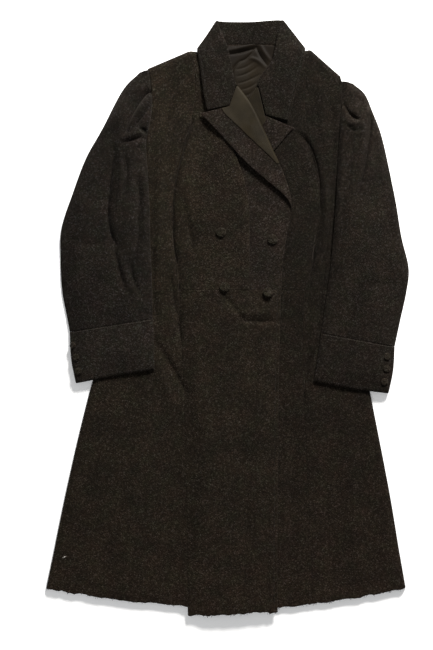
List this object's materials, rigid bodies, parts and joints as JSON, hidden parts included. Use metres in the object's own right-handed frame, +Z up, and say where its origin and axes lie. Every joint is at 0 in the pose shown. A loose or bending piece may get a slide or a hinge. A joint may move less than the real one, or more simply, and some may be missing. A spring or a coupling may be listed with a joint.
{
  "type": "frock coat",
  "caption": "Knee-length double-breasted frock coat in dark wool, laid flat face up, collar turned up, silk-faced lapels, turned cuffs and covered buttons.",
  "frame": {"origin": "middle of the coat's outline, on the surface it lies on", "axes": "+Y from hem to collar, +Z up out of the front, +X to the viewer's right (the wearer's left)"},
  "size_m": [0.6909, 1.1284, 0.0223],
  "materials": {
    "wool": "dull dark brown-black tweed with lighter flecks",
    "silk": "soft satin, dark brown",
    "lining": "dull satin, dark brown",
    "covered_button": "ribbed cloth cover"
  },
  "bodies": {
    "root": {"back_left": "wool", "back_right": "wool", "forepart_left": "wool", "forepart_right": "wool", "side_front_left": "wool", "side_front_right": "wool", "front_skirt_left": "wool", "front_skirt_right": "wool", "side_skirt_left": "wool", "side_skirt_right": "wool", "lapel_left": "wool", "lapel_right": "wool", "collar": "wool", "top_sleeve_left": "wool", "top_sleeve_right": "wool", "under_sleeve_left": "wool", "under_sleeve_right": "wool", "cuff_left": "wool", "cuff_right": "wool", "silk_facing_left": "silk", "silk_facing_right": "silk", "neck_lining": "lining", "button_left_lower": "covered_button", "button_left_upper": "covered_button", "button_right_lower": "covered_button", "button_right_upper": "covered_button", "cuff_button_left_1": "covered_button", "cuff_button_left_2": "covered_button", "cuff_button_left_3": "covered_button", "cuff_button_right_1": "covered_button", "cuff_button_right_2": "covered_button", "cuff_button_right_3": "covered_button"}
  },
  "joints": []
}
